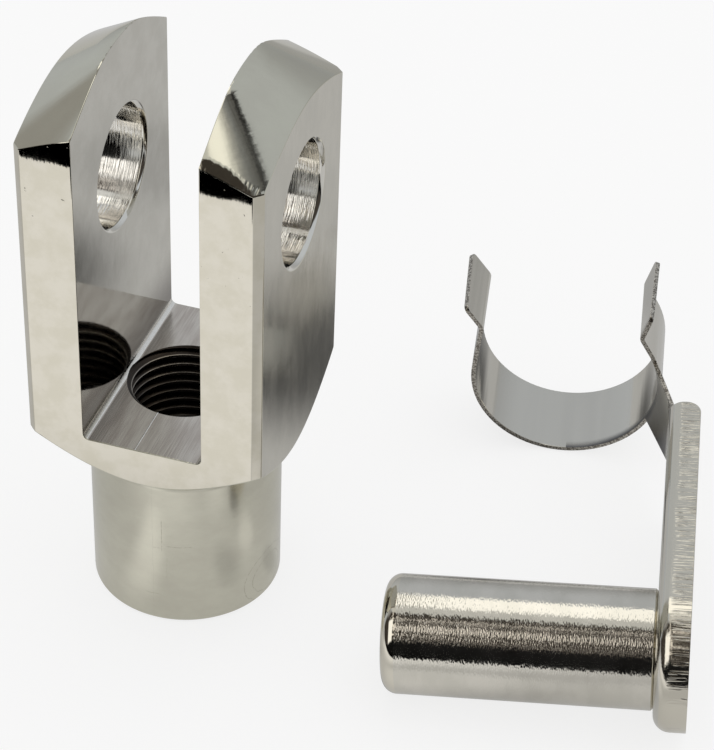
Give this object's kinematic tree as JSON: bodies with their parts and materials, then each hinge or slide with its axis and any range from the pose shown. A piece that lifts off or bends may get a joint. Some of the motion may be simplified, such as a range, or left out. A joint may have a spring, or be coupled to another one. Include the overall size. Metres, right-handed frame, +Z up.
{
  "type": "rod clevis",
  "caption": "Square-bodied rod clevis with a tapped round neck, a slot between prongs, a cross bore, and a round pin on a folded spring clip lying beside it.",
  "frame": {"origin": "centre of the threaded mouth, on the end face of the neck, which is also the surface that everything rests on", "axes": "+Z up the rod's axis towards the prongs, X along the cross bore, Y through the slot; the loose clip pin lies on the +X side"},
  "size_m": [0.0901, 0.0755, 0.0828],
  "materials": {
    "fork_steel": "bright nickel plating over turned and milled steel",
    "pin_steel": "bright nickel plating over a finely turned pin",
    "clip_steel": "satin nickel plating over spring steel sheet"
  },
  "bodies": {
    "root": {"fork": "fork_steel", "clevis_pin": "pin_steel", "spring_clip": "clip_steel"}
  },
  "joints": []
}
